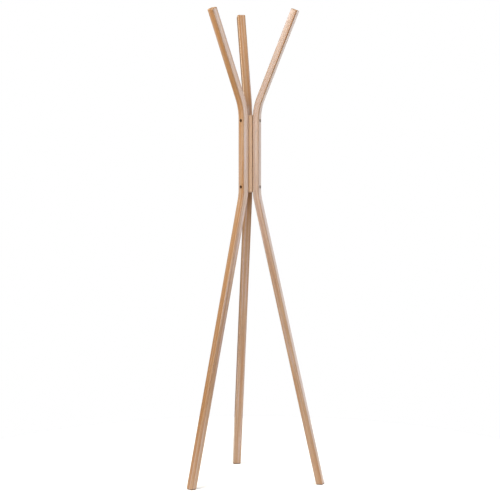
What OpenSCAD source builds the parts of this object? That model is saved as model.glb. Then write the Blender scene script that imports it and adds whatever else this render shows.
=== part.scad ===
// Standing coat rack: three identical bent wooden bars bolted round a short wooden core.
// Each bar is an arm that leans out at the top, a straight stretch against the core and a
// leg that leans out to the floor. Millimetres, +Z up, floor at Z = 0, the stand's upright
// axis on Z. One bar stands at the rear (+Y), the other two at the front left and right.

/* [Stand] */
// Overall height, from the floor to the highest point of the arms
total_height = 1750; // [1400:10:1900]
// Lean of each leg from the upright, in degrees
leg_angle = 13.1; // [8:0.1:20]
// Lean of each arm from the upright, in degrees
arm_angle = 22.6; // [10:0.1:35]
// Straight length of each arm above its bend
arm_length = 347; // [200:1:450]

/* [Bars] */
// Width of a bar, across its bends
bar_width = 30; // [24:0.5:40]
// Thickness of a bar, along its bends
bar_thickness = 25; // [20:0.5:32]
// Rounding of a bar's long edges
bar_edge_radius = 4; // [1:0.5:5]
// Rounding of the edges round an arm's end
arm_end_radius = 4; // [1:0.5:6]
// Radius of both bends, to the middle of the bar
bend_radius = 200; // [120:5:300]

/* [Core] */
// Length of the core
core_length = 285; // [200:5:360]
// Distance from the stand's axis to the face that a bar sits on
core_inradius = 17; // [15:0.5:24]
// How far the core shows beside each bar
core_lip = 2.3; // [0.5:0.1:3]
// How far the core runs past the bars' straight stretch, at each end
core_overrun = 14; // [0:1:30]
// Chamfer round the core's ends and along its upright edges
core_chamfer = 1; // [0.5:0.25:2]

/* [Bolts] */
// Thread diameter of the bolts
bolt_diameter = 6; // [5:1:8]
// Diameter of a bolt's head
bolt_head_diameter = 10; // [9:0.5:13]
// Height of a bolt's head
bolt_head_height = 6; // [4:0.5:8]
// Width of the hexagon socket across its flats
bolt_socket_width = 5; // [4:0.5:6]
// Depth of the hexagon socket
bolt_socket_depth = 3; // [2:0.5:4]
// Chamfer on a bolt's head and on its tip
bolt_chamfer = 0.6; // [0.3:0.1:1]
// How far a bolt goes into the core
bolt_reach = 8.4; // [6:0.1:10]
// How far the top of a bolt's head lies under the bar's face
head_recess = 2.4; // [0.5:0.1:3]
// Distance from the middle of a bolt to the end of the core
bolt_end_distance = 20; // [14:1:40]

/* [Washers and inserts] */
// Outer diameter of a washer
washer_diameter = 12; // [11:0.5:16]
// Thickness of a washer
washer_thickness = 1.6; // [1:0.1:2]
// Outer diameter of a threaded insert
insert_diameter = 10; // [9:0.5:12]
// Length of a threaded insert
insert_length = 10; // [9:0.5:11]
// How far an insert is sunk under the core's face
insert_recess = 0.5; // [0.2:0.1:1]

/* [Feet] */
// Thickness of a foot pad
pad_thickness = 3; // [2:0.5:6]
// How far a foot pad lies inside the outline of its leg
pad_inset = 1; // [0.5:0.5:3]

/* [Clearances] */
// Bolt hole in a bar, larger than the bolt's thread by
bolt_hole_clearance = 0.6; // [0.2:0.1:1]
// Washer's hole, larger than the bolt's thread by
washer_hole_clearance = 0.4; // [0.2:0.1:1]
// Counterbore, wider than the washer by
counterbore_clearance = 0.5; // [0.2:0.1:1]
// Insert's hole in the core, deeper than the insert by
insert_hole_clearance = 0.5; // [0.2:0.1:1]

/* [Hidden] */
$fn = 96;
// Cutting shapes reach this far past the face that they cut
cut_past = 1;
// The bends are slimmer than the straight lengths by this much on every side, and their
// ends run this many degrees into the straight lengths, so that a bar joins as one solid
bend_relief = 0.02;
bend_overlap = 0.2;

// The three bars and where each stands, as a turn about the axis from +X
SIDES = ["left", "right", "rear"];
SIDE_TURNS = [210, 330, 90];
// The two bolts of each bar, and which end of the core each is near
LEVELS = ["upper", "lower"];
LEVEL_SIGNS = [1, -1];

// Radii from the stand's axis, in the bars' straight stretch
bar_middle_radius = core_inradius + bar_thickness / 2;
bend_centre_radius = bar_middle_radius + bend_radius;

// Heights, worked down from the top of the arms
arm_end_rise = (arm_length - arm_end_radius) * cos(arm_angle)
    + (bar_thickness / 2 - arm_end_radius) * sin(arm_angle) + arm_end_radius;
straight_top = total_height - arm_end_rise - bend_radius * sin(arm_angle);
straight_length = core_length - 2 * core_overrun;
straight_bottom = straight_top - straight_length;
core_bottom = straight_bottom - core_overrun;
core_middle = core_bottom + core_length / 2;
bolt_offset = core_length / 2 - bolt_end_distance;

// The leg below its bend, long enough to be cut level at the foot
leg_top_height = straight_bottom - bend_radius * sin(leg_angle);
leg_top_radius = bend_centre_radius - bend_radius * cos(leg_angle);
leg_length = leg_top_height / cos(leg_angle) + bar_thickness;
foot_radius = leg_top_radius + (leg_top_height - pad_thickness) * tan(leg_angle);
foot_depth = bar_thickness / cos(leg_angle);

// The core's section: a triangle with its corners cut off. A corner's flat is as wide as
// what is left of the triangle's side on either side of the bar's seat.
core_face_width = bar_width + 2 * core_lip;
core_side = 2 * core_inradius * tan(60);
core_flat_width = (core_side - core_face_width) / 2;
core_flat_radius = 2 * core_inradius - core_flat_width * cos(30);
// Its six flats in turn, of which the odd ones are the bars' seats
function core_flat_turn(flat) = 30 + 60 * flat;
function core_flat_distance(flat) = flat % 2 == 1 ? core_inradius : core_flat_radius;
function core_flat_half(flat) = (flat % 2 == 1 ? core_face_width : core_flat_width) / 2;

// Depths along a bolt, measured out from the core's face
head_seat = bar_thickness - head_recess - bolt_head_height;
counterbore_floor = head_seat - washer_thickness;
bolt_hole_diameter = bolt_diameter + bolt_hole_clearance;
washer_hole_diameter = bolt_diameter + washer_hole_clearance;
counterbore_diameter = washer_diameter + counterbore_clearance;
insert_hole_depth = insert_recess + insert_length + insert_hole_clearance;

// Carries its children from the XZ plane, +X outwards, to one side of the stand
module at_side(turn) {
    rotate([0, 0, turn]) children();
}

// Lays its children, made along +Z, outwards from the core's face at one bolt's height
module at_bolt(turn, sign) {
    at_side(turn)
        translate([core_inradius, 0, core_middle + sign * bolt_offset])
            rotate([0, 90, 0]) children();
}

// A rectangle round the origin with rounded corners
module rounded_rectangle(size_x, size_y, radius) {
    square([size_x - 2 * radius, size_y], center = true);
    square([size_x, size_y - 2 * radius], center = true);
    for (sx = [-1, 1], sy = [-1, 1])
        translate([sx * (size_x / 2 - radius), sy * (size_y / 2 - radius)])
            circle(radius);
}

// A bar's section, X its thickness and Y its width, with as much off every side as is given
module bar_section(off = 0) {
    rounded_rectangle(bar_thickness - 2 * off, bar_width - 2 * off, bar_edge_radius);
}

// Puts its children, made round the centre of a bend of the given height, in their place
module at_bend(height) {
    translate([bend_centre_radius, 0, height]) children();
}

// A straight length of bar beside the centre of its bend, from one height to another
module straight(from, to) {
    translate([-bend_radius, 0, from])
        linear_extrude(height = to - from) bar_section();
}

// A bent length of bar, round the centre of its bend, from one turn through a sweep
module bend(from_turn, sweep) {
    rotate([90, 0, 0])
        rotate_extrude(start = from_turn - bend_overlap, angle = sweep + 2 * bend_overlap)
            translate([bend_radius, 0]) bar_section(bend_relief);
}

// What an arm's end is cut to: a slab of the given thickness that reaches well down past the
// bend, with rounded corners at its upper end
module arm_end(size) {
    rotate([90, 0, 0])
        linear_extrude(height = 2 * bar_width, center = true)
            rounded_rectangle(size, 2 * arm_length, arm_end_radius);
}

module arm() {
    at_bend(straight_top) {
        bend(180 - arm_angle, arm_angle);
        rotate([0, arm_angle, 0])
            intersection() {
                straight(0, arm_length);
                translate([-bend_radius, 0, 0]) arm_end(bar_thickness);
                translate([-bend_radius, 0, 0]) rotate([0, 0, 90]) arm_end(bar_width);
            }
    }
}

module leg() {
    at_bend(straight_bottom) bend(180, leg_angle);
    difference() {
        at_bend(straight_bottom)
            rotate([0, -leg_angle, 0]) straight(-leg_length, 0);
        // The foot is cut level, and stands on its pad
        translate([0, -bar_width, pad_thickness - 2 * bar_width])
            cube([2 * foot_radius, 2 * bar_width, 2 * bar_width]);
    }
}

module bar(turn) {
    color("burlywood")
        difference() {
            at_side(turn) {
                arm();
                at_bend(straight_bottom) straight(0, straight_length);
                leg();
            }
            for (sign = LEVEL_SIGNS)
                at_bolt(turn, sign) {
                    translate([0, 0, -cut_past])
                        cylinder(h = bar_thickness, d = bolt_hole_diameter);
                    translate([0, 0, counterbore_floor])
                        cylinder(h = bar_thickness, d = counterbore_diameter);
                }
        }
}

module foot_pad(turn) {
    color("saddlebrown")
        at_side(turn)
            translate([foot_radius, 0, 0])
                linear_extrude(height = pad_thickness)
                    rounded_rectangle(
                        foot_depth - 2 * pad_inset, bar_width - 2 * pad_inset, bar_edge_radius
                    );
}

// The core's section, from its flats: each has a normal, a distance from the axis and the
// half of its length that the upright chamfers leave
module core_section() {
    polygon([
        for (flat = [0:5], sign = [-1, 1])
            let (turn = core_flat_turn(flat), along = sign * (core_flat_half(flat) - core_chamfer))
                core_flat_distance(flat) * [cos(turn), sin(turn)]
                    + along * [-sin(turn), cos(turn)]
    ]);
}

// Cuts the chamfer round one end of the core, sign +1 at the top and -1 at the bottom
module core_end_cuts(sign) {
    for (flat = [0:5])
        rotate([0, 0, core_flat_turn(flat)])
            translate([core_flat_distance(flat), 0, sign * core_length / 2])
                rotate([0, sign * 45, 0])
                    cube([4 * core_chamfer, core_side, core_chamfer * sqrt(2)], center = true);
}

module core_block() {
    color("tan")
        difference() {
            translate([0, 0, core_middle])
                difference() {
                    linear_extrude(height = core_length, center = true) core_section();
                    for (sign = [-1, 1]) core_end_cuts(sign);
                }
            for (turn = SIDE_TURNS, sign = LEVEL_SIGNS)
                at_bolt(turn, sign)
                    translate([0, 0, -insert_hole_depth])
                        cylinder(h = insert_hole_depth + cut_past, d = insert_diameter);
        }
}

// A socket-head bolt, turned from one outline, with its hexagon socket cut in
module bolt(turn, sign) {
    head_top = head_seat + bolt_head_height;
    head_radius = bolt_head_diameter / 2;
    thread_radius = bolt_diameter / 2;
    color("darkgoldenrod")
        at_bolt(turn, sign)
            difference() {
                rotate_extrude()
                    polygon([
                        [0, -bolt_reach],
                        [thread_radius - bolt_chamfer, -bolt_reach],
                        [thread_radius, bolt_chamfer - bolt_reach],
                        [thread_radius, head_seat],
                        [head_radius, head_seat],
                        [head_radius, head_top - bolt_chamfer],
                        [head_radius - bolt_chamfer, head_top],
                        [0, head_top]
                    ]);
                translate([0, 0, head_top - bolt_socket_depth])
                    cylinder(h = bolt_socket_depth + cut_past, d = bolt_socket_width / cos(30), $fn = 6);
            }
}

// A flat ring round the bolt, from one distance off the core's face to another
module ring(from, to, outer_diameter, hole_diameter) {
    translate([0, 0, from])
        difference() {
            cylinder(h = to - from, d = outer_diameter);
            translate([0, 0, -cut_past])
                cylinder(h = to - from + 2 * cut_past, d = hole_diameter);
        }
}

module washer(turn, sign) {
    color("goldenrod")
        at_bolt(turn, sign)
            ring(counterbore_floor, head_seat, washer_diameter, washer_hole_diameter);
}

module insert(turn, sign) {
    color("gold")
        at_bolt(turn, sign)
            ring(-insert_recess - insert_length, -insert_recess, insert_diameter, bolt_diameter);
}

core_block();
for (side = [0:len(SIDES) - 1]) {
    name = SIDES[side];
    turn = SIDE_TURNS[side];
    bar(turn);
    foot_pad(turn);
    for (level = [0:len(LEVELS) - 1]) {
        place = str(name, "_", LEVELS[level]);
        sign = LEVEL_SIGNS[level];
        bolt(turn, sign);
        washer(turn, sign);
        insert(turn, sign);
    }
}
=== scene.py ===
import math

import bmesh
import bpy
from bpy.props import FloatProperty, FloatVectorProperty, IntProperty, PointerProperty
from mathutils import Matrix, Vector


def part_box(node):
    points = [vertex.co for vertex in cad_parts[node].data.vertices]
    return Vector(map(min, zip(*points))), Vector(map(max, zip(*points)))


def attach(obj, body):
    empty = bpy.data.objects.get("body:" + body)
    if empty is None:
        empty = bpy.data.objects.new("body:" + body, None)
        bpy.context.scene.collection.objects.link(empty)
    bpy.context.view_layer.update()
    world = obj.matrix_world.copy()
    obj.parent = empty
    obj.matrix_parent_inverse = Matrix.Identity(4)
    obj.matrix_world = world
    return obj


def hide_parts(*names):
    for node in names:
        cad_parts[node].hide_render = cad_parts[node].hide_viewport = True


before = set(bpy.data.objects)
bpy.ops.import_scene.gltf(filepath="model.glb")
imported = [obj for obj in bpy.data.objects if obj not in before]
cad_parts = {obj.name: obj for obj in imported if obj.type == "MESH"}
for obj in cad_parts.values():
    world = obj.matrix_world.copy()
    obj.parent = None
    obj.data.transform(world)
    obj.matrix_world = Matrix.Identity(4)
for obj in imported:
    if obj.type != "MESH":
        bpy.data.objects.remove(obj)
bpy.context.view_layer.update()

bl_info = {
    "name": "Standing Coat Rack",
    "version": (1, 0, 0),
    "blender": (4, 5, 0),
    "location": "View3D > Sidebar > Coat Rack",
    "description": "Builds the finished look of a three-legged coat rack of bent oak",
    "category": "Object",
}

MM = 0.001
SIDES = ("left", "right", "rear")
LEVELS = ("upper", "lower")
# A piece may stand this far proud of the CAD node that it replaces
BOX_TOLERANCE = 0.3 * MM
# Edges sharper than this stay crisp when a piece is shaded smooth
SHARP_ANGLE = math.radians(38)
# A face counts as level when its normal's share of Z is above this
UPRIGHT = 0.999
# How far into a rounded edge, as a share of it, its middle is reached
EDGE_SHARE = 0.7
# Blender's wave texture turns this many radians in one unit
WAVE_RADIANS = 20
CORNER_STEPS = 6
ROUND_SEGMENTS = 48


# ---------------------------------------------------------------------------
# Sizes and colours
# ---------------------------------------------------------------------------

def linear(code):
    """A linear colour from an sRGB hex code such as #C8A078."""
    channels = [int(code[i:i + 2], 16) / 255 for i in (1, 3, 5)]
    return tuple(c / 12.92 if c <= 0.04045 else ((c + 0.055) / 1.055) ** 2.4 for c in channels)


def length(name, description, default):
    """A length in metres, for a panel field."""
    return FloatProperty(name=name, description=description, default=default,
                         min=0, precision=5, unit="LENGTH", subtype="DISTANCE")


def angle(name, description, degrees):
    """An angle, for a panel field."""
    return FloatProperty(name=name, description=description, default=math.radians(degrees),
                         unit="ROTATION", subtype="ANGLE")


def colour(name, description, code):
    """A colour, for a panel field."""
    return FloatVectorProperty(name=name, description=description, default=linear(code),
                               min=0, max=1, size=3, subtype="COLOR")


def share(name, description, default, most=1):
    """A plain number, for a panel field."""
    return FloatProperty(name=name, description=description, default=default, min=0, max=most)


class BarSettings(bpy.types.PropertyGroup):
    """Sizes of the bent bars."""
    width: length("Width", "Width of a bar, across its bends", 30 * MM)
    thickness: length("Thickness", "Thickness of a bar, along its bends", 25 * MM)
    edge_radius: length("Edge Radius", "Rounding of the long edges", 4 * MM)
    end_radius: length("End Radius", "Rounding round an arm's end", 4 * MM)
    bend_radius: length("Bend Radius", "Radius of both bends, to the middle of the bar", 200 * MM)
    arm_angle: angle("Arm Angle", "Lean of an arm from the upright", 22.6)
    leg_angle: angle("Leg Angle", "Lean of a leg from the upright", 13.1)
    arm_length: length("Arm Length", "Straight length of an arm above its bend", 347 * MM)
    foot_easing: length("Foot Easing", "Bevel round the sawn foot of a leg", 0.5 * MM)
    hole_easing: length("Hole Easing", "Bevel round the mouth of a bolt's recess", 0.35 * MM)
    hole_radius: length("Hole Radius", "Radius of a bolt's hole", 3.3 * MM)
    recess_radius: length("Recess Radius", "Radius of the recess for a bolt's head", 6.25 * MM)
    recess_floor: length("Recess Floor", "Wood left under a washer", 15 * MM)


class CoreSettings(bpy.types.PropertyGroup):
    """Sizes of the core."""
    inradius: length("Seat Distance", "From the axis to a bar's seat", 17 * MM)
    lip: length("Lip", "How far the core shows beside each bar", 2.3 * MM)
    overrun: length("Overrun", "How far the core runs past the bars' straight length", 14 * MM)
    corner_radius: length("Corner Radius", "Rounding of the upright corners", 1.6 * MM)
    end_radius: length("End Radius", "Rounding round both ends", 1.2 * MM)
    hole_radius: length("Insert Hole Radius", "Radius of an insert's hole", 5 * MM)
    hole_depth: length("Insert Hole Depth", "Depth of an insert's hole", 11 * MM)


class WoodSettings(bpy.types.PropertyGroup):
    """Colours and grain of the oak."""
    rosy: colour("Rosy", "Pale greyish pink streaks", "#B2958A")
    pale: colour("Pale", "The wood's main colour", "#AB8766")
    tan: colour("Tan", "Warmer streaks", "#A47A55")
    amber: colour("Amber", "The warmest streaks", "#9C6B3D")
    # The core's four colours are the same oak painted much lighter and pinker, as painted light and
    # painted sheen on the core's front flat
    core_lit_rosy: colour("Core Lit Rosy", "Pale pink streaks in the core", "#E0C2B0")
    core_lit_pale: colour("Core Lit Pale", "The core's main colour", "#DEB99A")
    core_lit_tan: colour("Core Lit Tan", "Warmer streaks in the core", "#D6AC88")
    core_lit_amber: colour("Core Lit Amber", "The core's warmest streaks", "#CB9E74")
    late: colour("Late Wood", "The darker line of each year's growth", "#866140")
    pore: colour("Pores", "Open pores in the early wood", "#5F4127")
    # edge: the colour mixed in along the rounded edges, making them darker
    edge: colour("Darker Edges", "Where the lacquer is rubbed thin along the edges", "#977351")
    sawn: colour("End Grain", "Wood cut across the grain", "#96795E")
    # bored: the recess walls' colour, near black as painted shade inside the bolt recesses
    bored: colour("Recess Wood, Painted Shade", "Bare wood inside a recess, darkened by the drill", "#3F2818")
    streak_length: length("Streak Length", "Length of a streak along the grain", 420 * MM)
    streak_width: length("Streak Width", "Width of a streak across the grain", 7 * MM)
    ring_spacing: length("Ring Spacing", "Distance from one year's growth to the next", 2.6 * MM)
    pore_length: length("Pore Length", "Length of a pore's mark", 14 * MM)
    pore_width: length("Pore Width", "Width of a pore's mark", 0.7 * MM)
    roughness: share("Roughness", "Roughness of the satin lacquer", 0.42)


class FixingSettings(bpy.types.PropertyGroup):
    """Sizes and colours of the bolts, washers, inserts and pads."""
    thread_radius: length("Thread Radius", "Radius of a bolt's thread", 3 * MM)
    thread_pitch: length("Thread Pitch", "Rise of a bolt's thread in one turn", 1 * MM)
    thread_depth: length("Thread Depth", "Depth of a bolt's thread", 0.5 * MM)
    threaded_length: length("Threaded Length", "Length of a bolt's thread", 18 * MM)
    reach: length("Reach", "How far a bolt goes into the core", 8.4 * MM)
    head_radius: length("Head Radius", "Radius of a bolt's head", 5 * MM)
    head_height: length("Head Height", "Height of a bolt's head", 6 * MM)
    socket_width: length("Socket Width", "Width of the socket across its flats", 5 * MM)
    socket_depth: length("Socket Depth", "Depth of the socket", 3 * MM)
    knurls: IntProperty(name="Knurls", description="Ridges round a bolt's head", default=24)
    washer_radius: length("Washer Radius", "Outer radius of a washer", 6 * MM)
    washer_bore: length("Washer Bore", "Radius of a washer's hole", 3.2 * MM)
    washer_thickness: length("Washer Thickness", "Thickness of a washer", 1.6 * MM)
    insert_radius: length("Insert Radius", "Outer radius of a threaded insert", 5 * MM)
    insert_length: length("Insert Length", "Length of a threaded insert", 10 * MM)
    insert_recess: length("Insert Recess", "How far an insert is sunk", 0.5 * MM)
    insert_pitch: length("Insert Pitch", "Rise of an insert's outer thread", 2 * MM)
    pad_inset: length("Pad Inset", "How far a pad lies inside its leg", 1 * MM)
    pad_corner: length("Pad Corner", "Radius of a pad's upright corners", 4 * MM)
    bronze: colour("Bronze Plating", "The plating in the light", "#856244")
    tarnish: colour("Tarnish", "The plating where it has darkened", "#4A3220")
    brass: colour("Brass", "Freshly turned brass", "#D9B56A")
    dull_brass: colour("Dull Brass", "Brass that has dulled", "#A98544")
    nylon: colour("Nylon", "The moulded pads", "#5C4231")
    nylon_rub: colour("Rubbed Nylon", "Nylon scuffed by the floor", "#8A7464")


class StageSettings(bpy.types.PropertyGroup):
    """The camera, the lights and the floor."""
    camera_azimuth: angle("Camera Azimuth", "Turn of the camera round the stand", -10.539)
    camera_distance: length("Camera Distance", "From the stand's axis to the camera", 5.3434)
    camera_height: length("Camera Height", "Height of the camera", 1.1895)
    camera_pitch: angle("Camera Pitch", "How far the camera looks down", 3.5)
    lens: FloatProperty(name="Lens", description="Focal length on a 36 mm sensor",
                        default=103.29, unit="CAMERA")
    shift: share("Shift", "Sideways shift of the lens", 0.00116)
    floor_radius: length("Floor Radius", "Radius of the round floor", 1.3)
    floor_white: colour("Floor", "The pale floor", "#FBFBFA")
    room: share("Room Light", "Light from all round", 0.08, 10)
    skylight: share("Skylight", "What a white floor gives back of the light from above", 0.52, 10)
    skylight_spread: angle("Skylight Spread", "How broad the light from above is", 50)


class RackSettings(bpy.types.PropertyGroup):
    """Everything about the coat rack."""
    bars: PointerProperty(type=BarSettings)
    core: PointerProperty(type=CoreSettings)
    wood: PointerProperty(type=WoodSettings)
    fixings: PointerProperty(type=FixingSettings)
    stage: PointerProperty(type=StageSettings)


# ---------------------------------------------------------------------------
# Places, read from the frame
# ---------------------------------------------------------------------------

def middle(node):
    """The middle of a CAD node's box."""
    low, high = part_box(node)
    return (low + high) / 2


def side_turn(side):
    """A bar's turn about the stand's axis, from +X."""
    pad = middle(f"{side}_foot_pad")
    return math.atan2(pad.y, pad.x)


def upright_plane(side):
    """Carries a shape made in the XZ plane, +X outwards, to one side of the stand."""
    return Matrix.Rotation(side_turn(side), 4, "Z")


def bolt_place(rack, side, level):
    """Carries a shape made along +Z from the core's face out along one bolt."""
    height = middle(f"{side}_{level}_bolt").z
    outwards = Matrix.Rotation(math.radians(90), 4, "Y")
    return upright_plane(side) @ Matrix.Translation((rack.core.inradius, 0, height)) @ outwards


class Centreline:
    """The line along the middle of a bar, in the upright plane in which it bends.

    A place on it is the height where it is straight, carried on past each bend."""

    def __init__(self, rack):
        low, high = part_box("core_block")
        self.top = high.z - rack.core.overrun
        self.bottom = low.z + rack.core.overrun
        self.bend = rack.bars.bend_radius
        self.middle = rack.core.inradius + rack.bars.thickness / 2
        self.centre = self.middle + self.bend
        self.arm_angle = rack.bars.arm_angle
        self.leg_angle = rack.bars.leg_angle
        self.arm_start = self.top + self.bend * self.arm_angle
        self.leg_start = self.bottom - self.bend * self.leg_angle
        self.tip = self.arm_start + rack.bars.arm_length

    def at(self, place):
        """The point there, as radius and height, with the bar's lean outwards."""
        if self.bottom <= place <= self.top:
            return Vector((self.middle, place)), 0
        up = place > self.top
        past = place - self.top if up else self.bottom - place
        lean = min(past / self.bend, self.arm_angle if up else self.leg_angle)
        straight = past - self.bend * lean
        radius = self.centre - self.bend * math.cos(lean) + straight * math.sin(lean)
        rise = self.bend * math.sin(lean) + straight * math.cos(lean)
        if up:
            return Vector((radius, self.top + rise)), lean
        return Vector((radius, self.bottom - rise)), -lean

    def find(self, radius, height):
        """The place beside a point, and how far out from the line the point lies."""
        ends = ((1, self.top, self.arm_angle), (-1, self.bottom, self.leg_angle))
        for way, start, most in ends:
            rise = way * (height - start)
            if rise <= 0:
                continue
            lean = math.atan2(rise, self.centre - radius)
            if lean <= most:
                out = self.bend - math.hypot(rise, self.centre - radius)
                return start + way * self.bend * lean, out
            along = Vector((math.sin(most), math.cos(most)))
            outwards = Vector((math.cos(most), -math.sin(most)))
            bend_end = Vector((self.centre, 0)) + self.bend * Vector((-outwards.x, along.x))
            offset = Vector((radius, rise)) - bend_end
            return start + way * (self.bend * most + offset.dot(along)), offset.dot(outwards)
        return height, radius - self.middle


# ---------------------------------------------------------------------------
# Shapes
# ---------------------------------------------------------------------------

def rounded_polygon(corners, radius, steps=CORNER_STEPS):
    """Points round a convex polygon, given anticlockwise, with its corners rounded."""
    points = []
    for i, corner in enumerate(corners):
        before = (corners[i - 1] - corner).normalized()
        after = (corners[(i + 1) % len(corners)] - corner).normalized()
        half = before.angle(after) / 2
        centre = corner + (before + after).normalized() * (radius / math.sin(half))
        start = corner + before * (radius / math.tan(half)) - centre
        sweep = math.pi - 2 * half
        for step in range(steps + 1):
            points.append(centre + Matrix.Rotation(sweep * step / steps, 2) @ start)
    return points


def rectangle(depth, width):
    """The corners of a rectangle round the origin, anticlockwise."""
    return [Vector((x * depth / 2, y * width / 2)) for x, y in ((1, 1), (-1, 1), (-1, -1), (1, -1))]


def skin(rings, looped=False):
    """A closed skin over rings of points, each flat-ended unless it runs on into itself."""
    shape = bmesh.new()
    rows = [[shape.verts.new(point) for point in ring] for ring in rings]
    pairs = list(zip(rows, rows[1:]))
    if looped:
        pairs.append((rows[-1], rows[0]))
    for low, high in pairs:
        for i in range(len(low)):
            shape.faces.new((low[i - 1], low[i], high[i], high[i - 1]))
    if not looped:
        shape.faces.new(rows[0])
        shape.faces.new(rows[-1])
    bmesh.ops.recalc_face_normals(shape, faces=shape.faces)
    return shape


def turned(profile, looped=False):
    """A shape turned about Z from (height, radius) pairs.

    A radius is a number, or a function of the turn and the height."""
    rings = []
    for height, radius in profile:
        ring = []
        for i in range(ROUND_SEGMENTS):
            turn = math.tau * i / ROUND_SEGMENTS
            reach = radius(turn, height) if callable(radius) else radius
            ring.append(Vector((reach * math.cos(turn), reach * math.sin(turn), height)))
        rings.append(ring)
    return skin(rings, looped)


def to_object(name, shape, place=None):
    """A mesh object from a bmesh, set in place."""
    mesh = bpy.data.meshes.new(name)
    shape.to_mesh(mesh)
    shape.free()
    if place is not None:
        mesh.transform(place)
    made = bpy.data.objects.new(name, mesh)
    bpy.context.scene.collection.objects.link(made)
    return made


def bore(piece, shape, place):
    """Takes a turned shape out of a piece for good."""
    cutter = to_object("cutter", shape, place)
    modifier = piece.modifiers.new("bore", "BOOLEAN")
    modifier.operation = "DIFFERENCE"
    modifier.solver = "EXACT"
    modifier.object = cutter
    dependencies = bpy.context.evaluated_depsgraph_get()
    bored = bpy.data.meshes.new_from_object(piece.evaluated_get(dependencies))
    if not bored.polygons:
        raise RuntimeError(f"{piece.name} came out empty from its bore")
    piece.modifiers.clear()
    piece.data = bored
    bpy.data.objects.remove(cutter)


def mark(piece, survey):
    """Writes where each point lies in the wood, and how near a rounded edge it is.

    survey gives a point's grain coordinates and its nearness to an edge."""
    attributes = piece.data.attributes
    attributes.new("grain", "FLOAT_VECTOR", "POINT")
    attributes.new("edge", "FLOAT", "POINT")
    surveyed = [survey(vertex.co) for vertex in piece.data.vertices]
    attributes["grain"].data.foreach_set("vector", [n for place, _ in surveyed for n in place])
    attributes["edge"].data.foreach_set("value", [nearness for _, nearness in surveyed])


def edge_nearness(distances, radius):
    """1 in the middle of a rounded edge and 0 off it, from the distances to the faces."""
    second = sorted(distances)[1]
    return max(0, min(1, (1 - second / radius) / EDGE_SHARE))


def finish_piece(piece, node, materials, even=True):
    """Shades a piece, gives it its materials, and stands it in for its CAD node."""
    mesh = piece.data
    for i, material in enumerate(materials):
        if i < len(mesh.materials):
            mesh.materials[i] = material
        else:
            mesh.materials.append(material)
    mesh.shade_smooth()
    mesh.set_sharp_from_angle(angle=SHARP_ANGLE)
    if even:
        weighted = piece.modifiers.new("even_shading", "WEIGHTED_NORMAL")
        weighted.keep_sharp = True
    low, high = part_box(node)
    for corner in piece.bound_box:
        for value, least, most in zip(corner, low, high):
            if not least - BOX_TOLERANCE <= value <= most + BOX_TOLERANCE:
                raise RuntimeError(f"{piece.name} stands proud of {node}")
    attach(piece, "root")
    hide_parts(node)


def fit_at_bolts(rack, name, node, shape, material, along=0, even=True):
    """Fits a finished piece at each of the six bolts; shape() makes it afresh each time."""
    shift = Matrix.Translation((0, 0, along))
    for side in SIDES:
        for level in LEVELS:
            place = bolt_place(rack, side, level) @ shift
            piece = to_object(f"{name}_{side}_{level}", shape(), place)
            finish_piece(piece, f"{side}_{level}_{node}", [material], even)


# ---------------------------------------------------------------------------
# Materials
# ---------------------------------------------------------------------------

def add(tree, kind, links=None, stops=None, **settings):
    """Adds a node with its settings, its inputs and, for a colour ramp, its stops.

    An input is a value, or another node's output to link from."""
    node = tree.nodes.new(kind)
    for name, value in settings.items():
        setattr(node, name, value)
    for name, value in (links or {}).items():
        if isinstance(value, bpy.types.NodeSocket):
            tree.links.new(value, node.inputs[name])
        else:
            node.inputs[name].default_value = value
    if stops:
        ramp = node.color_ramp.elements
        while len(ramp) < len(stops):
            ramp.new(1)
        for element, (position, value) in zip(ramp, stops):
            element.position = position
            element.color = value
    return node


def solid(value):
    """A colour with full alpha."""
    return (*value, 1)


def grey(value):
    """A grey for a ramp that carries a number."""
    return (value, value, value, 1)


def blend(tree, amount, low, high):
    """Two colours mixed by an amount."""
    links = {0: amount, 6: low, 7: high}
    return add(tree, "ShaderNodeMix", links, data_type="RGBA").outputs[2]


def noise(tree, vector, size, detail, more=None):
    """Cloudy noise with patches of about that size, as a number."""
    links = {"Vector": vector, "Scale": 1 / size, "Detail": detail, **(more or {})}
    return add(tree, "ShaderNodeTexNoise", links).outputs["Fac"]


def new_material(name):
    """An empty material and its node tree."""
    material = bpy.data.materials.new(name)
    material.use_nodes = True
    material.node_tree.nodes.clear()
    return material, material.node_tree


def surfaced(material, inputs):
    """The material, finished with a principled surface."""
    tree = material.node_tree
    shader = add(tree, "ShaderNodeBsdfPrincipled", inputs)
    add(tree, "ShaderNodeOutputMaterial", {"Surface": shader.outputs[0]})
    return material


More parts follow.
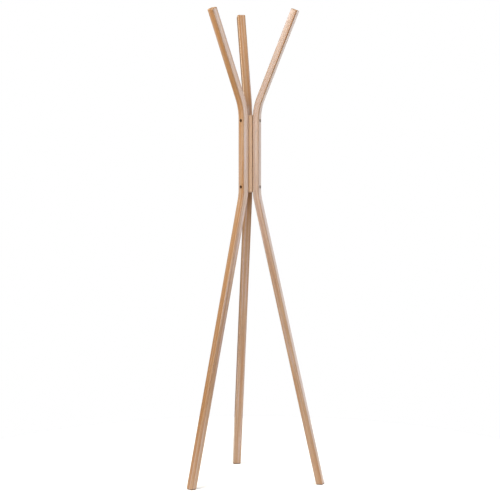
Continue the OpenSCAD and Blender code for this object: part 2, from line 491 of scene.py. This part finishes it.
def long_grain(name, wood, tones):
    """Oak cut along the grain, planed, sanded and sprayed with a clear satin lacquer.

    Long streaks change slowly along the bar and quickly across it, fine growth lines run
    with them, and open pores leave short dark marks. The lacquer gives a low even sheen."""
    material, tree = new_material(name)
    grain = add(tree, "ShaderNodeAttribute", attribute_name="grain").outputs["Vector"]
    edge = add(tree, "ShaderNodeAttribute", attribute_name="edge").outputs["Fac"]
    across = 1 / wood.streak_width
    streak_place = add(tree, "ShaderNodeMapping", {
        "Vector": grain, "Scale": (1 / wood.streak_length, across, across)})
    streaks = noise(tree, streak_place.outputs[0], 1, 3.0, {"Roughness": 0.55, "Distortion": 0.3})
    tone = add(tree, "ShaderNodeValToRGB", {"Fac": streaks}, [
        (stop, solid(shade)) for stop, shade in zip((0.35, 0.46, 0.54, 0.65), tones)])
    # The growth lines wander a little across the bar as they run along it
    ring_place = add(tree, "ShaderNodeMapping", {
        "Vector": grain, "Scale": (0.004, 1.0, 0.35)})
    rings = add(tree, "ShaderNodeTexWave", {
        "Vector": ring_place.outputs[0], "Scale": math.tau / (WAVE_RADIANS * wood.ring_spacing),
        "Distortion": 2.2, "Detail": 2.0, "Detail Scale": 0.4, "Detail Roughness": 0.5},
        wave_type="BANDS", bands_direction="DIAGONAL", wave_profile="SAW")
    late = add(tree, "ShaderNodeValToRGB", {"Fac": rings.outputs["Fac"]}, [
        (0.45, grey(0)), (0.92, grey(0.34)), (1.0, grey(0.05))])
    ringed = blend(tree, late.outputs[0], tone.outputs[0], solid(wood.late))
    # Pores are drawn wider than real ones, so that they show
    pore_place = add(tree, "ShaderNodeMapping", {
        "Vector": grain,
        "Scale": (1 / wood.pore_length, 1 / wood.pore_width, 1 / wood.pore_width)})
    pores = noise(tree, pore_place.outputs[0], 1, 1.0, {"Roughness": 0.4})
    pore_marks = add(tree, "ShaderNodeValToRGB", {"Fac": pores}, [
        (0.57, grey(0)), (0.7, grey(0.42))])
    pored = blend(tree, pore_marks.outputs[0], ringed, solid(wood.pore))
    # Along the rounded edges the wood is coloured darker; even in the middle of an edge the darkening
    # only shows in part
    edge_darkening = add(tree, "ShaderNodeMath", {0: edge, 1: 0.38}, operation="MULTIPLY")
    rubbed = blend(tree, edge_darkening.outputs[0], pored, solid(wood.edge))
    sheen = add(tree, "ShaderNodeMapRange", {
        "Value": pores, "From Min": 0.3, "From Max": 0.7,
        "To Min": wood.roughness - 0.05, "To Max": wood.roughness + 0.1})
    relief = add(tree, "ShaderNodeBump", {
        "Height": pore_marks.outputs[0], "Strength": 0.4, "Distance": 0.04 * MM}, invert=True)
    return surfaced(material, {
        "Base Color": rubbed, "Roughness": sheen.outputs[0], "IOR": 1.5,
        "Coat Weight": 1.0, "Coat Roughness": 0.3, "Normal": relief.outputs[0]})


def end_grain(name, wood):
    """Oak sawn across the grain and sanded: it drinks the lacquer, so it is darker and duller.

    The growth rings show as arcs with rows of pores between them."""
    material, tree = new_material(name)
    grain = add(tree, "ShaderNodeAttribute", attribute_name="grain").outputs["Vector"]
    # The tree's heart lies well outside the bar, so its rings cross it as shallow arcs
    place = add(tree, "ShaderNodeMapping", {
        "Vector": grain, "Scale": (0.0, 1.0, 1.0), "Location": (0, 0.05, 0.028)})
    rings = add(tree, "ShaderNodeTexWave", {
        "Vector": place.outputs[0], "Scale": math.tau / (WAVE_RADIANS * wood.ring_spacing),
        "Distortion": 0.8, "Detail": 2.0, "Detail Scale": 0.6},
        wave_type="RINGS", rings_direction="X", wave_profile="SAW")
    bands = add(tree, "ShaderNodeValToRGB", {"Fac": rings.outputs["Fac"]}, [
        (0.0, solid(wood.tan)), (0.6, solid(wood.sawn)), (1.0, solid(wood.late))])
    dots = add(tree, "ShaderNodeTexVoronoi", {"Vector": grain, "Scale": 1 / (0.9 * MM)})
    dot_marks = add(tree, "ShaderNodeValToRGB", {"Fac": dots.outputs["Distance"]}, [
        (0.12, grey(0.6)), (0.3, grey(0))])
    dotted = blend(tree, dot_marks.outputs[0], bands.outputs[0], solid(wood.pore))
    relief = add(tree, "ShaderNodeBump", {
        "Height": dot_marks.outputs[0], "Strength": 0.6, "Distance": 0.15 * MM}, invert=True)
    return surfaced(material, {
        "Base Color": dotted, "Roughness": 0.58, "IOR": 1.5,
        "Normal": relief.outputs[0]})


def recess_shade_wood(name, wood):
    """Oak drilled across the grain and left bare, dull and a little furry, coloured near black as
    painted shade inside the recess.
    """
    material, tree = new_material(name)
    grain = add(tree, "ShaderNodeAttribute", attribute_name="grain").outputs["Vector"]
    fuzz = noise(tree, grain, 0.8 * MM, 3.0)
    # Painted shade: the walls are coloured between near black and the pores' dark brown
    tone = blend(tree, fuzz, solid(wood.bored), solid(wood.pore))
    relief = add(tree, "ShaderNodeBump", {
        "Height": fuzz, "Strength": 0.5, "Distance": 0.1 * MM})
    return surfaced(material, {
        "Base Color": tone, "Roughness": 0.75, "IOR": 1.5,
        "Normal": relief.outputs[0]})


def worn_metal(name, fresh, dull, roughness, mark_size):
    """A plated or turned metal: bright where it is rubbed, duller in its hollows.

    Fine mottling all over it breaks up the reflections."""
    material, tree = new_material(name)
    position = add(tree, "ShaderNodeTexCoord").outputs["Object"]
    form = add(tree, "ShaderNodeNewGeometry")
    wear = add(tree, "ShaderNodeMapRange", {
        "Value": form.outputs["Pointiness"], "From Min": 0.47, "From Max": 0.56})
    cloud = noise(tree, position, 2.5 * MM, 4.0)
    worn = add(tree, "ShaderNodeMath", {
        0: wear.outputs[0], 1: cloud}, operation="MULTIPLY", use_clamp=True)
    tone = add(tree, "ShaderNodeValToRGB", {"Fac": worn.outputs[0]}, [
        (0.15, solid(dull)), (0.6, solid(fresh))])
    marks = noise(tree, position, mark_size, 2.0)
    gloss = add(tree, "ShaderNodeMapRange", {
        "Value": marks, "From Min": 0.3, "From Max": 0.7,
        "To Min": roughness - 0.08, "To Max": roughness + 0.12})
    relief = add(tree, "ShaderNodeBump", {
        "Height": marks, "Strength": 0.25, "Distance": 0.03 * MM})
    return surfaced(material, {
        "Base Color": tone.outputs[0], "Metallic": 1.0, "Roughness": gloss.outputs[0],
        "Normal": relief.outputs[0]})


def moulded_nylon(name, fixings):
    """Brown nylon, moulded with a fine spark-eroded texture, with paler scuffs in patches."""
    material, tree = new_material(name)
    position = add(tree, "ShaderNodeTexCoord").outputs["Object"]
    pitted = noise(tree, position, 0.5 * MM, 2.0)
    scuffs = noise(tree, position, 6 * MM, 4.0, {"Roughness": 0.65})
    worn = add(tree, "ShaderNodeMapRange", {
        "Value": scuffs, "From Min": 0.5, "From Max": 0.8, "To Max": 0.5})
    tone = blend(tree, worn.outputs[0], solid(fixings.nylon), solid(fixings.nylon_rub))
    gloss = add(tree, "ShaderNodeMapRange", {
        "Value": pitted, "From Min": 0.3, "From Max": 0.7,
        "To Min": 0.48, "To Max": 0.66})
    relief = add(tree, "ShaderNodeBump", {
        "Height": pitted, "Strength": 0.4, "Distance": 0.06 * MM})
    return surfaced(material, {
        "Base Color": tone, "Roughness": gloss.outputs[0], "IOR": 1.53,
        "Normal": relief.outputs[0]})


def matt_floor(name, stage):
    """A matt white painted floor, with the faintest mottling of a rolled coat."""
    material, tree = new_material(name)
    position = add(tree, "ShaderNodeTexCoord").outputs["Object"]
    mottle = noise(tree, position, 1 / 9, 3.0)
    mottled = solid([0.985 * c for c in stage.floor_white])
    tone = blend(tree, mottle, solid(stage.floor_white), mottled)
    return surfaced(material, {
        "Base Color": tone, "Roughness": 0.9, "Specular IOR Level": 0.1})


# ---------------------------------------------------------------------------
# Operators
# ---------------------------------------------------------------------------

class COATRACK_OT_bars(bpy.types.Operator):
    """Build the three bent oak bars, each with its bolt holes and recesses"""
    bl_idname = "coat_rack.bars"
    bl_label = "Build Bent Bars"

    # Steps between rings of points along each length of a bar
    LEG_STEPS = 22
    BEND_STEPS = 14
    STRAIGHT_STEPS = 10
    ARM_STEPS = 8
    END_STEPS = 5
    # How far above the foot the first square ring lies
    FOOT_CLEAR = 12 * MM
    # The corners' radius where the outline is drawn in furthest, on an arm's end
    LEAST_RADIUS = 1 * MM
    # How much of the rounding round an arm's end is sawn end, as a share of its radius
    SAWN_SHARE = 0.45
    # How near a recess's own radius its walls lie, and how far inside the bar's two faces
    WALL_MARGIN = 0.1 * MM
    FACE_MARGIN = 0.01 * MM
    # From one bar's board to the next, along the grain, across it and through it
    BOARD_SHIFT = Vector((1.37, 0.19, 0.23))

    def ring(self, line, bars, place, inset=0.0):
        """The bar's outline at one place, in the upright plane, drawn in by inset."""
        point, lean = line.at(place)
        corners = rectangle(bars.thickness - 2 * inset, bars.width - 2 * inset)
        outline = rounded_polygon(corners, max(bars.edge_radius - inset, self.LEAST_RADIUS))
        return [Vector((point.x + p.x * math.cos(lean), p.y, point.y - p.x * math.sin(lean)))
                for p in outline]

    def level_ring(self, line, bars, height, inset):
        """The outline that a level cut at that height gives the leg."""
        drop = (line.at(line.leg_start)[0].y - height) / math.cos(line.leg_angle)
        along = Vector((-math.sin(line.leg_angle), 0, math.cos(line.leg_angle)))
        ring = self.ring(line, bars, line.leg_start - drop, inset)
        return [p + along * ((height - p.z) / along.z) for p in ring]

    def build(self, rack, line):
        bars = rack.bars
        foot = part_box("rear_foot_pad")[1].z
        rings = [self.level_ring(line, bars, foot, bars.foot_easing),
                 self.level_ring(line, bars, foot + bars.foot_easing, 0)]
        drop = (line.at(line.leg_start)[0].y - foot - self.FOOT_CLEAR)
        leg_end = line.leg_start - drop / math.cos(line.leg_angle)
        arm_end = line.tip - bars.end_radius
        runs = ((leg_end, line.leg_start, self.LEG_STEPS),
                (line.leg_start, line.bottom, self.BEND_STEPS),
                (line.bottom, line.top, self.STRAIGHT_STEPS),
                (line.top, line.arm_start, self.BEND_STEPS),
                (line.arm_start, arm_end, self.ARM_STEPS))
        for start, end, steps in runs:
            for step in range(steps):
                rings.append(self.ring(line, bars, start + (end - start) * step / steps))
        for step in range(self.END_STEPS + 1):
            turn = math.radians(90) * step / self.END_STEPS
            inset = bars.end_radius * (1 - math.cos(turn))
            rings.append(self.ring(line, bars, arm_end + bars.end_radius * math.sin(turn), inset))
        return skin(rings)

    def recess(self, rack):
        """What is drilled out for one bolt, along +Z from the core's face."""
        bars = rack.bars
        beyond = 2 * MM
        mouth = bars.recess_radius + bars.hole_easing + beyond
        return turned([(-beyond, bars.hole_radius), (bars.recess_floor, bars.hole_radius),
                       (bars.recess_floor, bars.recess_radius),
                       (bars.thickness - bars.hole_easing, bars.recess_radius),
                       (bars.thickness + beyond, mouth)])

    def assign(self, rack, line, side, piece):
        """Gives a bar's two sawn ends and its drilled recesses their own materials; the recesses'
        material is near black, as painted shade.
        """
        to_plane = upright_plane(side).inverted()
        tip = line.tip - self.SAWN_SHARE * rack.bars.end_radius
        face_out = line.middle + rack.bars.thickness / 2
        bolt_heights = [middle(f"{side}_{level}_bolt").z for level in LEVELS]
        for face in piece.data.polygons:
            local = to_plane @ face.center
            place, _ = line.find(local.x, local.z)
            off_bolt = min(math.hypot(local.y, local.z - height) for height in bolt_heights)
            inside = (rack.core.inradius + self.FACE_MARGIN < local.x
                      < face_out - self.FACE_MARGIN)
            if place > tip or face.normal.z < -UPRIGHT:
                face.material_index = 1
            # A face on a recess wall takes the near-black painted-shade material
            elif off_bolt < rack.bars.recess_radius + self.WALL_MARGIN and inside:
                face.material_index = 2
            else:
                face.material_index = 0

    def execute(self, context):
        rack = context.scene.coat_rack
        bars = rack.bars
        line = Centreline(rack)
        wood = rack.wood
        side_grain = long_grain("Bent oak, clear satin lacquer", wood,
                                (wood.rosy, wood.pale, wood.tan, wood.amber))
        cut_grain = end_grain("Oak end grain, sanded and lacquered", wood)
        # The recess walls' material: bare oak, painted near black as shade
        bare = recess_shade_wood("Bored oak, bare, painted recess shade", wood)
        for number, side in enumerate(SIDES):
            piece = to_object(f"oak_bar_{side}", self.build(rack, line), upright_plane(side))
            for level in LEVELS:
                bore(piece, self.recess(rack), bolt_place(rack, side, level))
            to_plane = upright_plane(side).inverted()
            # Each bar is sawn from its own board, so its grain starts elsewhere
            board = self.BOARD_SHIFT * (number + 1)

            def survey(point):
                local = to_plane @ point
                place, out = line.find(local.x, local.z)
                distances = (bars.width / 2 - abs(local.y), bars.thickness / 2 - abs(out),
                             line.tip - place)
                grain = Vector((place, local.y, out)) + board
                return grain, edge_nearness(distances, bars.edge_radius)

            mark(piece, survey)
            finish_piece(piece, f"{side}_bar", [side_grain, cut_grain, bare])
            self.assign(rack, line, side, piece)
        return {"FINISHED"}


class COATRACK_OT_core(bpy.types.Operator):
    """Build the oak core that the bars are bolted to"""
    bl_idname = "coat_rack.core"
    bl_label = "Build Core"

    LENGTH_STEPS = 16
    END_STEPS = 4

    def flats(self, rack):
        """The six flats as (normal, distance from the axis); every other one seats a bar."""
        core = rack.core
        seat_width = rack.bars.width + 2 * core.lip
        side = 2 * core.inradius * math.tan(math.radians(60))
        between = 2 * core.inradius - (side - seat_width) / 2 * math.cos(math.radians(30))
        for i in range(6):
            turn = math.radians(30 + 60 * i)
            normal = Vector((math.cos(turn), math.sin(turn)))
            yield normal, core.inradius if i % 2 else between

    def outline(self, rack, inset):
        """The core's outline, drawn in by inset."""
        flats = [(normal, distance - inset) for normal, distance in self.flats(rack)]
        corners = []
        for (normal, distance), (next_normal, next_distance) in zip(flats, flats[1:] + flats[:1]):
            lines = Matrix((normal, next_normal))
            corners.append(lines.inverted() @ Vector((distance, next_distance)))
        return rounded_polygon(corners, rack.core.corner_radius)

    def execute(self, context):
        rack = context.scene.coat_rack
        core = rack.core
        low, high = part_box("core_block")
        turns = [math.radians(90) * step / self.END_STEPS for step in range(self.END_STEPS + 1)]
        ends = [(core.end_radius * (1 - math.sin(t)), core.end_radius * (1 - math.cos(t)))
                for t in turns]
        rings = [(low.z + depth, inset) for depth, inset in reversed(ends)]
        span = high.z - low.z - 2 * core.end_radius
        for step in range(1, self.LENGTH_STEPS):
            rings.append((low.z + core.end_radius + span * step / self.LENGTH_STEPS, 0))
        rings += [(high.z - depth, inset) for depth, inset in ends]
        shape = skin([[Vector((p.x, p.y, height)) for p in self.outline(rack, inset)]
                      for height, inset in rings])
        piece = to_object("oak_core", shape)
        for side in SIDES:
            for level in LEVELS:
                hole = turned([(-core.hole_depth, core.hole_radius), (2 * MM, core.hole_radius)])
                bore(piece, hole, bolt_place(rack, side, level))
        flats = list(self.flats(rack))

        def survey(point):
            distances = [distance - normal.dot(point.xy) for normal, distance in flats]
            distances += [point.z - low.z, high.z - point.z]
            return (point.z, point.x, point.y), edge_nearness(distances, core.corner_radius)

        mark(piece, survey)
        wood = rack.wood
        # The core's wood takes the lighter tones: painted light and painted sheen on its front flat
        finish_piece(piece, "core_block", [
            long_grain("Solid oak core, clear satin lacquer, painted lighter as lit", wood,
                       (wood.core_lit_rosy, wood.core_lit_pale, wood.core_lit_tan, wood.core_lit_amber)),
            end_grain("Oak core end grain, sanded", wood)])
        for face in piece.data.polygons:
            face.material_index = 1 if abs(face.normal.z) > UPRIGHT else 0
        return {"FINISHED"}


class COATRACK_OT_bolts(bpy.types.Operator):
    """Build the six socket-head bolts with their threads and knurled heads"""
    bl_idname = "coat_rack.bolts"
    bl_label = "Build Bolts"

    RINGS_A_TURN = 5
    KNURL_DEPTH = 0.22 * MM
    EASING = 0.3 * MM

    def profile(self, rack):
        """A bolt's rings, from its tip to the bottom of its socket."""
        fixings = rack.fixings
        seat = rack.bars.recess_floor + fixings.washer_thickness
        top = seat + fixings.head_height
        radius, head = fixings.thread_radius, fixings.head_radius
        root = radius - fixings.thread_depth
        spacing = ROUND_SEGMENTS // fixings.knurls

        def thread(turn, height):
            phase = (height / fixings.thread_pitch - turn / math.tau) % 1
            return radius - fixings.thread_depth * abs(2 * phase - 1)

        def knurl(turn, height):
            ridge = round(turn / math.tau * ROUND_SEGMENTS) % spacing == 0
            return head if ridge else head - self.KNURL_DEPTH

        def socket(extra):
            def reach(turn, height):
                sixth = math.radians(60)
                off = (turn + sixth / 2) % sixth - sixth / 2
                return (fixings.socket_width / 2 + extra) / math.cos(off)
            return reach

        start = -fixings.reach
        count = round(fixings.threaded_length / fixings.thread_pitch * self.RINGS_A_TURN)
        rings = [(start, root - self.EASING)]
        rings += [(start + self.EASING + i * fixings.thread_pitch / self.RINGS_A_TURN, thread)
                  for i in range(count)]
        neck = start + fixings.threaded_length + 2 * self.EASING
        rings += [(neck, radius), (seat - self.EASING, radius), (seat, radius),
                  (seat, head - self.EASING), (seat + self.EASING, head),
                  (seat + 0.8 * MM, head), (seat + 1.0 * MM, knurl), (top - 1.2 * MM, knurl),
                  (top - 1.0 * MM, head), (top - 0.6 * MM, head), (top - 0.25 * MM, head - 0.15 * MM),
                  (top, head - 0.6 * MM), (top, socket(self.EASING)),
                  (top - self.EASING, socket(0)), (top - fixings.socket_depth, socket(0)),
                  (top - fixings.socket_depth - 0.8 * MM, 0.4 * MM)]
        return rings

    def execute(self, context):
        rack = context.scene.coat_rack
        fixings = rack.fixings
        plating = worn_metal("Steel, antique bronze plating", fixings.bronze, fixings.tarnish,
                             0.36, 0.5 * MM)
        fit_at_bolts(rack, "socket_bolt", "bolt",
                     lambda: turned(self.profile(rack)), plating, even=False)
        return {"FINISHED"}


class COATRACK_OT_washers(bpy.types.Operator):
    """Build the six stamped washers under the bolts' heads"""
    bl_idname = "coat_rack.washers"
    bl_label = "Build Washers"

    def execute(self, context):
        rack = context.scene.coat_rack
        fixings = rack.fixings
        bore_radius, rim, thick = (fixings.washer_bore, fixings.washer_radius,
                                   fixings.washer_thickness)
        # A stamped washer has one rounded edge and one crisp one
        profile = [(0, bore_radius), (0, rim - 0.1 * MM), (0.1 * MM, rim),
                   (thick - 0.4 * MM, rim), (thick - 0.1 * MM, rim - 0.12 * MM),
                   (thick, rim - 0.4 * MM), (thick, bore_radius + 0.25 * MM),
                   (thick - 0.2 * MM, bore_radius)]
        plating = worn_metal("Stamped steel, bronze plating", fixings.bronze, fixings.tarnish,
                             0.42, 0.7 * MM)
        fit_at_bolts(rack, "washer", "washer",
                     lambda: turned(profile, looped=True), plating, rack.bars.recess_floor)
        return {"FINISHED"}


class COATRACK_OT_inserts(bpy.types.Operator):
    """Build the six brass inserts that take the bolts, threaded inside and out"""
    bl_idname = "coat_rack.inserts"
    bl_label = "Build Threaded Inserts"

    RINGS_A_TURN = 5
    EASING = 0.3 * MM
    # Depths of the two threads, and how far each end is turned down outside and opened inside
    OUTER_DEPTH = 0.7 * MM
    INNER_DEPTH = 0.4 * MM
    OUTER_RELIEF = 1.0 * MM
    INNER_RELIEF = 0.6 * MM

    def execute(self, context):
        rack = context.scene.coat_rack
        fixings = rack.fixings
        long, outer, inner = (fixings.insert_length, fixings.insert_radius,
                              fixings.thread_radius)

        def outer_thread(turn, height):
            phase = (height / fixings.insert_pitch - turn / math.tau) % 1
            return outer - self.OUTER_DEPTH * abs(2 * phase - 1)

        # This thread lies outside the bolt's, so the two follow each other but do not mesh
        def inner_thread(turn, height):
            phase = (height / fixings.thread_pitch - turn / math.tau) % 1
            return inner + self.INNER_DEPTH * abs(2 * phase - 1)

        threaded = long - 2 * self.EASING
        outside = round(threaded / fixings.insert_pitch * self.RINGS_A_TURN)
        inside = round(threaded / fixings.thread_pitch * self.RINGS_A_TURN)
        profile = [(0, outer - self.OUTER_RELIEF)]
        profile += [(self.EASING + threaded * i / outside, outer_thread)
                    for i in range(outside + 1)]
        profile += [(long, outer - self.OUTER_RELIEF), (long, inner + self.INNER_RELIEF)]
        profile += [(long - self.EASING - threaded * i / inside, inner_thread)
                    for i in range(inside + 1)]
        profile += [(0, inner + self.INNER_RELIEF)]
        brass = worn_metal("Turned brass", fixings.brass, fixings.dull_brass, 0.3, 0.4 * MM)
        fit_at_bolts(rack, "threaded_insert", "insert",
                     lambda: turned(profile, looped=True), brass,
                     -fixings.insert_recess - long, even=False)
        return {"FINISHED"}


class COATRACK_OT_foot_pads(bpy.types.Operator):
    """Build the three moulded nylon pads under the legs"""
    bl_idname = "coat_rack.foot_pads"
    bl_label = "Build Foot Pads"

    def execute(self, context):
        rack = context.scene.coat_rack
        bars, fixings = rack.bars, rack.fixings
        nylon = moulded_nylon("Moulded brown nylon", fixings)
        depth = bars.thickness / math.cos(bars.leg_angle) - 2 * fixings.pad_inset
        width = bars.width - 2 * fixings.pad_inset
        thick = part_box("rear_foot_pad")[1].z
        # (height, how far in): a rounded sole, an upright wall and a small bevel under the wood
        steps = ((0, 1.1), (0.12, 0.6), (0.4, 0.22), (0.9, 0), (thick / MM - 0.35, 0),
                 (thick / MM, 0.3))
        for side in SIDES:
            middle_out = middle(f"{side}_foot_pad").xy.length
            rings = []
            for height, inset in steps:
                corners = rectangle(depth - 2 * inset * MM, width - 2 * inset * MM)
                outline = rounded_polygon(corners, fixings.pad_corner - inset * MM)
                rings.append([Vector((p.x + middle_out, p.y, height * MM)) for p in outline])
            piece = to_object(f"nylon_foot_{side}", skin(rings), upright_plane(side))
            finish_piece(piece, f"{side}_foot_pad", [nylon])
        return {"FINISHED"}


class COATRACK_OT_stage(bpy.types.Operator):
    """Set the pale floor, the soft light and the camera"""
    bl_idname = "coat_rack.stage"
    bl_label = "Set the Stage"

    # Softboxes round the stand: turn from the camera's side in degrees, distance and height of
    # the middle in metres, width and height in metres, and radiance in red, green and blue
    SOFTBOXES = (
        ("high_left", -42, 1.9, 2.7, 1.2, 1.4, (9.9, 9.1, 7.7)),
        ("front_left", -39, 3.4, 1.6, 0.9, 1.7, (5.2, 6.4, 7.6)),
        ("front_right", 18, 3.2, 2.3, 1.0, 1.0, (4.6, 5.2, 5.8)),
        ("side_right", 76, 2.8, 1.75, 1.6, 2.2, (4.8, 4.8, 4.9)),
        ("back_right", 142, 3.6, 1.4, 2.6, 2.9, (1.4, 1.45, 1.5)),
        ("side_left", -72, 2.0, 2.0, 1.0, 1.4, (6.2, 5.8, 4.6)),
    )

    # The softboxes face the stand's axis at this height, in metres
    AIM_HEIGHT = 1.2
    FLOOR_SEGMENTS = 128
    # The width of the camera's sensor, in millimetres
    SENSOR_WIDTH = 36

    def add_softbox(self, name, turn, distance, height, wide, high, radiance):
        """A rectangle of even light that faces the middle of the stand."""
        light = bpy.data.lights.new(name, "AREA")
        light.shape = "RECTANGLE"
        light.size = wide
        light.size_y = high
        strongest = max(radiance)
        light.color = [channel / strongest for channel in radiance]
        # A lamp's power is what it gives over its area in every direction
        light.energy = strongest * wide * high * math.pi
        box = bpy.data.objects.new(name, light)
        box.location = (math.sin(turn) * distance, -math.cos(turn) * distance, height)
        aim = Vector((0, 0, self.AIM_HEIGHT)) - box.location
        box.rotation_euler = aim.to_track_quat("-Z", "Y").to_euler()
        box.visible_camera = False
        bpy.context.scene.collection.objects.link(box)

    def add_skylight(self, stage):
        """A broad light from straight above, which keeps the floor white."""
        light = bpy.data.lights.new("skylight", "SUN")
        light.energy = stage.skylight * math.pi
        light.angle = stage.skylight_spread
        sky = bpy.data.objects.new("skylight", light)
        bpy.context.scene.collection.objects.link(sky)

    def execute(self, context):
        scene = context.scene
        stage = scene.coat_rack.stage
        shape = bmesh.new()
        bmesh.ops.create_circle(shape, cap_ends=True, segments=self.FLOOR_SEGMENTS,
                                radius=stage.floor_radius)
        mesh = bpy.data.meshes.new("floor")
        shape.to_mesh(mesh)
        shape.free()
        floor = bpy.data.objects.new("floor", mesh)
        mesh.materials.append(matt_floor("Matt white floor paint", stage))
        scene.collection.objects.link(floor)

        world = bpy.data.worlds.new("Soft white room")
        world.use_nodes = True
        tree = world.node_tree
        tree.nodes.clear()
        # The room is white to the camera, and far dimmer as a light
        rays = add(tree, "ShaderNodeLightPath").outputs["Is Camera Ray"]
        strength = add(tree, "ShaderNodeMapRange", {
            "Value": rays, "To Min": stage.room, "To Max": 1.0})
        room = add(tree, "ShaderNodeBackground", {
            "Color": (1, 1, 1, 1), "Strength": strength.outputs[0]})
        add(tree, "ShaderNodeOutputWorld", {"Surface": room.outputs[0]})
        scene.world = world

        for name, turn, distance, height, wide, high, radiance in self.SOFTBOXES:
            self.add_softbox(name, stage.camera_azimuth + math.radians(turn), distance, height,
                             wide, high, radiance)
        self.add_skylight(stage)

        camera_data = bpy.data.cameras.new("camera")
        camera_data.sensor_width = self.SENSOR_WIDTH
        camera_data.lens = stage.lens
        camera_data.shift_x = stage.shift
        camera_data.clip_end = 200
        camera = bpy.data.objects.new("camera", camera_data)
        camera.location = (math.sin(stage.camera_azimuth) * stage.camera_distance,
                           -math.cos(stage.camera_azimuth) * stage.camera_distance,
                           stage.camera_height)
        camera.rotation_euler = (math.radians(90) - stage.camera_pitch, 0, stage.camera_azimuth)
        scene.collection.objects.link(camera)
        scene.camera = camera
        scene.view_settings.view_transform = "Standard"
        return {"FINISHED"}


class COATRACK_PT_sidebar(bpy.types.Panel):
    """The coat rack's steps and sizes"""
    bl_idname = "COATRACK_PT_sidebar"
    bl_label = "Standing Coat Rack"
    bl_space_type = "VIEW_3D"
    bl_region_type = "UI"
    bl_category = "Coat Rack"

    def draw(self, context):
        rack = context.scene.coat_rack
        for step in STEPS:
            self.layout.operator(step.bl_idname)
        for group in (rack.bars, rack.core, rack.wood, rack.fixings, rack.stage):
            box = self.layout.box()
            box.label(text=group.__doc__)
            for name in group.__annotations__:
                box.prop(group, name)


STEPS = (COATRACK_OT_bars, COATRACK_OT_core, COATRACK_OT_bolts, COATRACK_OT_washers,
         COATRACK_OT_inserts, COATRACK_OT_foot_pads, COATRACK_OT_stage)
CLASSES = (BarSettings, CoreSettings, WoodSettings, FixingSettings, StageSettings,
           RackSettings, *STEPS, COATRACK_PT_sidebar)


def register():
    for item in CLASSES:
        bpy.utils.register_class(item)
    bpy.types.Scene.coat_rack = PointerProperty(type=RackSettings)


def unregister():
    del bpy.types.Scene.coat_rack
    for item in reversed(CLASSES):
        bpy.utils.unregister_class(item)


def main():
    """Builds every piece in order."""
    register()
    bpy.ops.coat_rack.bars()
    bpy.ops.coat_rack.core()
    bpy.ops.coat_rack.bolts()
    bpy.ops.coat_rack.washers()
    bpy.ops.coat_rack.inserts()
    bpy.ops.coat_rack.foot_pads()
    bpy.ops.coat_rack.stage()


if __name__ == "__main__":
    main()
